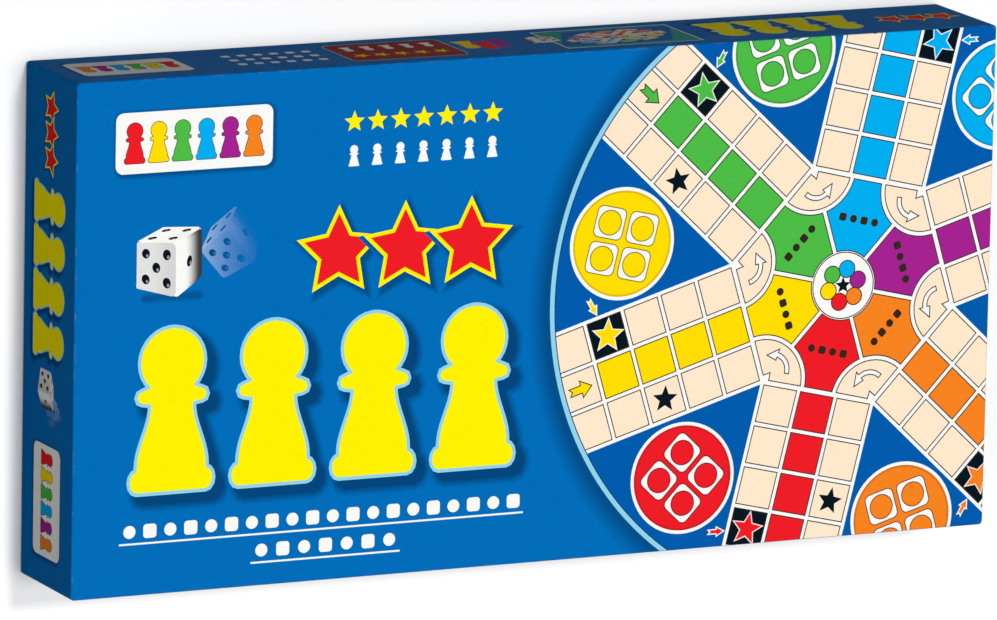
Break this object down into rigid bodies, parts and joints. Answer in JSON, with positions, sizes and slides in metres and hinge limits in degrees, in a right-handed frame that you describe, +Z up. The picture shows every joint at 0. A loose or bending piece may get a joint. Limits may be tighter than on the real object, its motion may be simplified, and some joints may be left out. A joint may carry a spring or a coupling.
{
  "type": "board game box",
  "caption": "Flat telescoping cardboard game box with a lift-off lid, holding a folding race-game board, cone tokens sorted in card cells, a die and a rules leaflet.",
  "frame": {"origin": "centre of the base's underside, on the table", "axes": "+X along the long side in the print's reading direction, +Y towards the print's top edge, +Z up, the way the lid lifts off"},
  "size_m": [0.37, 0.19, 0.048],
  "materials": {
    "lid_print": "printed, glossy laminate",
    "greyboard": "uncoated grey fibre board",
    "stay_paper": "brown gummed tape",
    "base_paper": "plain blue, matt",
    "divider_card": "uncoated white-lined card",
    "board_print": "printed, satin laminate",
    "board_back": "plain blue, matt",
    "leaflet_paper": "uncoated white",
    "die_plastic": "moulded, polished",
    "token_green": "moulded, glossy",
    "token_cyan": "moulded, glossy",
    "token_purple": "moulded, glossy",
    "token_orange": "moulded, glossy",
    "token_red": "moulded, glossy",
    "token_yellow": "moulded, glossy"
  },
  "bodies": {
    "base": {"base_board": "greyboard", "base_corner_stays": "stay_paper", "base_wrap": "base_paper", "base_sheet": "base_paper", "long_divider": "divider_card", "cross_divider_1": "divider_card", "cross_divider_2": "divider_card", "cross_divider_3": "divider_card", "cross_divider_4": "divider_card", "cross_divider_5": "divider_card", "cross_divider_6": "divider_card"},
    "board_lower": {"board_back_lower": "board_back", "board_panel_lower": "greyboard", "board_face_lower": "board_print", "board_fold": "board_print"},
    "board_upper": {"board_face_upper": "board_print", "board_panel_upper": "greyboard", "board_back_upper": "board_back"},
    "lid": {"lid_board": "greyboard", "lid_corner_stays": "stay_paper", "lid_wrap": "lid_print"},
    "leaflet": {"rules_leaflet": "leaflet_paper"},
    "die": {"die": "die_plastic"},
    "token_green_1": {"token_green_1": "token_green"},
    "token_green_2": {"token_green_2": "token_green"},
    "token_green_3": {"token_green_3": "token_green"},
    "token_green_4": {"token_green_4": "token_green"},
    "token_cyan_1": {"token_cyan_1": "token_cyan"},
    "token_cyan_2": {"token_cyan_2": "token_cyan"},
    "token_cyan_3": {"token_cyan_3": "token_cyan"},
    "token_cyan_4": {"token_cyan_4": "token_cyan"},
    "token_purple_1": {"token_purple_1": "token_purple"},
    "token_purple_2": {"token_purple_2": "token_purple"},
    "token_purple_3": {"token_purple_3": "token_purple"},
    "token_purple_4": {"token_purple_4": "token_purple"},
    "token_orange_1": {"token_orange_1": "token_orange"},
    "token_orange_2": {"token_orange_2": "token_orange"},
    "token_orange_3": {"token_orange_3": "token_orange"},
    "token_orange_4": {"token_orange_4": "token_orange"},
    "token_red_1": {"token_red_1": "token_red"},
    "token_red_2": {"token_red_2": "token_red"},
    "token_red_3": {"token_red_3": "token_red"},
    "token_red_4": {"token_red_4": "token_red"},
    "token_yellow_1": {"token_yellow_1": "token_yellow"},
    "token_yellow_2": {"token_yellow_2": "token_yellow"},
    "token_yellow_3": {"token_yellow_3": "token_yellow"},
    "token_yellow_4": {"token_yellow_4": "token_yellow"}
  },
  "joints": [
    {"name": "board_lift", "type": "slide", "parent": "base", "child": "board_lower", "axis": [0, 0, 1], "range_m": [0, 0.12]},
    {"name": "lid_lift", "type": "slide", "parent": "board_lower", "child": "lid", "axis": [0, 0, 1], "range_m": [0, 0.6]},
    {"name": "board_unfold", "type": "hinge", "parent": "board_lower", "child": "board_upper", "pos_m": [0, 0.0923, 0.0438], "axis": [-1, 0, 0], "range_deg": [0, 180], "deforming": ["board_fold"]},
    {"name": "leaflet_lift", "type": "slide", "parent": "base", "child": "leaflet", "axis": [0, 0, 1], "range_m": [0, 0.09]},
    {"name": "die_lift", "type": "slide", "parent": "base", "child": "die", "axis": [0, 0, 1], "range_m": [0, 0.072]},
    {"name": "token_green_1_lift", "type": "slide", "parent": "base", "child": "token_green_1", "axis": [0, 0, 1], "range_m": [0, 0.072]},
    {"name": "token_green_2_lift", "type": "slide", "parent": "base", "child": "token_green_2", "axis": [0, 0, 1], "range_m": [0, 0.072]},
    {"name": "token_green_3_lift", "type": "slide", "parent": "base", "child": "token_green_3", "axis": [0, 0, 1], "range_m": [0, 0.072]},
    {"name": "token_green_4_lift", "type": "slide", "parent": "base", "child": "token_green_4", "axis": [0, 0, 1], "range_m": [0, 0.072]},
    {"name": "token_cyan_1_lift", "type": "slide", "parent": "base", "child": "token_cyan_1", "axis": [0, 0, 1], "range_m": [0, 0.072]},
    {"name": "token_cyan_2_lift", "type": "slide", "parent": "base", "child": "token_cyan_2", "axis": [0, 0, 1], "range_m": [0, 0.072]},
    {"name": "token_cyan_3_lift", "type": "slide", "parent": "base", "child": "token_cyan_3", "axis": [0, 0, 1], "range_m": [0, 0.072]},
    {"name": "token_cyan_4_lift", "type": "slide", "parent": "base", "child": "token_cyan_4", "axis": [0, 0, 1], "range_m": [0, 0.072]},
    {"name": "token_purple_1_lift", "type": "slide", "parent": "base", "child": "token_purple_1", "axis": [0, 0, 1], "range_m": [0, 0.072]},
    {"name": "token_purple_2_lift", "type": "slide", "parent": "base", "child": "token_purple_2", "axis": [0, 0, 1], "range_m": [0, 0.072]},
    {"name": "token_purple_3_lift", "type": "slide", "parent": "base", "child": "token_purple_3", "axis": [0, 0, 1], "range_m": [0, 0.072]},
    {"name": "token_purple_4_lift", "type": "slide", "parent": "base", "child": "token_purple_4", "axis": [0, 0, 1], "range_m": [0, 0.072]},
    {"name": "token_orange_1_lift", "type": "slide", "parent": "base", "child": "token_orange_1", "axis": [0, 0, 1], "range_m": [0, 0.072]},
    {"name": "token_orange_2_lift", "type": "slide", "parent": "base", "child": "token_orange_2", "axis": [0, 0, 1], "range_m": [0, 0.072]},
    {"name": "token_orange_3_lift", "type": "slide", "parent": "base", "child": "token_orange_3", "axis": [0, 0, 1], "range_m": [0, 0.072]},
    {"name": "token_orange_4_lift", "type": "slide", "parent": "base", "child": "token_orange_4", "axis": [0, 0, 1], "range_m": [0, 0.072]},
    {"name": "token_red_1_lift", "type": "slide", "parent": "base", "child": "token_red_1", "axis": [0, 0, 1], "range_m": [0, 0.072]},
    {"name": "token_red_2_lift", "type": "slide", "parent": "base", "child": "token_red_2", "axis": [0, 0, 1], "range_m": [0, 0.072]},
    {"name": "token_red_3_lift", "type": "slide", "parent": "base", "child": "token_red_3", "axis": [0, 0, 1], "range_m": [0, 0.072]},
    {"name": "token_red_4_lift", "type": "slide", "parent": "base", "child": "token_red_4", "axis": [0, 0, 1], "range_m": [0, 0.072]},
    {"name": "token_yellow_1_lift", "type": "slide", "parent": "base", "child": "token_yellow_1", "axis": [0, 0, 1], "range_m": [0, 0.072]},
    {"name": "token_yellow_2_lift", "type": "slide", "parent": "base", "child": "token_yellow_2", "axis": [0, 0, 1], "range_m": [0, 0.072]},
    {"name": "token_yellow_3_lift", "type": "slide", "parent": "base", "child": "token_yellow_3", "axis": [0, 0, 1], "range_m": [0, 0.072]},
    {"name": "token_yellow_4_lift", "type": "slide", "parent": "base", "child": "token_yellow_4", "axis": [0, 0, 1], "range_m": [0, 0.072]}
  ],
  "couplings": [
    {"joint": "board_unfold", "follows": "lid_lift", "rad_per_m": 5.236},
    {"joint": "leaflet_lift", "follows": "board_lift", "ratio": 0.75},
    {"joint": "die_lift", "follows": "board_lift", "ratio": 0.6},
    {"joint": "token_green_1_lift", "follows": "board_lift", "ratio": 0.6},
    {"joint": "token_green_2_lift", "follows": "board_lift", "ratio": 0.6},
    {"joint": "token_green_3_lift", "follows": "board_lift", "ratio": 0.6},
    {"joint": "token_green_4_lift", "follows": "board_lift", "ratio": 0.6},
    {"joint": "token_cyan_1_lift", "follows": "board_lift", "ratio": 0.6},
    {"joint": "token_cyan_2_lift", "follows": "board_lift", "ratio": 0.6},
    {"joint": "token_cyan_3_lift", "follows": "board_lift", "ratio": 0.6},
    {"joint": "token_cyan_4_lift", "follows": "board_lift", "ratio": 0.6},
    {"joint": "token_purple_1_lift", "follows": "board_lift", "ratio": 0.6},
    {"joint": "token_purple_2_lift", "follows": "board_lift", "ratio": 0.6},
    {"joint": "token_purple_3_lift", "follows": "board_lift", "ratio": 0.6},
    {"joint": "token_purple_4_lift", "follows": "board_lift", "ratio": 0.6},
    {"joint": "token_orange_1_lift", "follows": "board_lift", "ratio": 0.6},
    {"joint": "token_orange_2_lift", "follows": "board_lift", "ratio": 0.6},
    {"joint": "token_orange_3_lift", "follows": "board_lift", "ratio": 0.6},
    {"joint": "token_orange_4_lift", "follows": "board_lift", "ratio": 0.6},
    {"joint": "token_red_1_lift", "follows": "board_lift", "ratio": 0.6},
    {"joint": "token_red_2_lift", "follows": "board_lift", "ratio": 0.6},
    {"joint": "token_red_3_lift", "follows": "board_lift", "ratio": 0.6},
    {"joint": "token_red_4_lift", "follows": "board_lift", "ratio": 0.6},
    {"joint": "token_yellow_1_lift", "follows": "board_lift", "ratio": 0.6},
    {"joint": "token_yellow_2_lift", "follows": "board_lift", "ratio": 0.6},
    {"joint": "token_yellow_3_lift", "follows": "board_lift", "ratio": 0.6},
    {"joint": "token_yellow_4_lift", "follows": "board_lift", "ratio": 0.6}
  ]
}
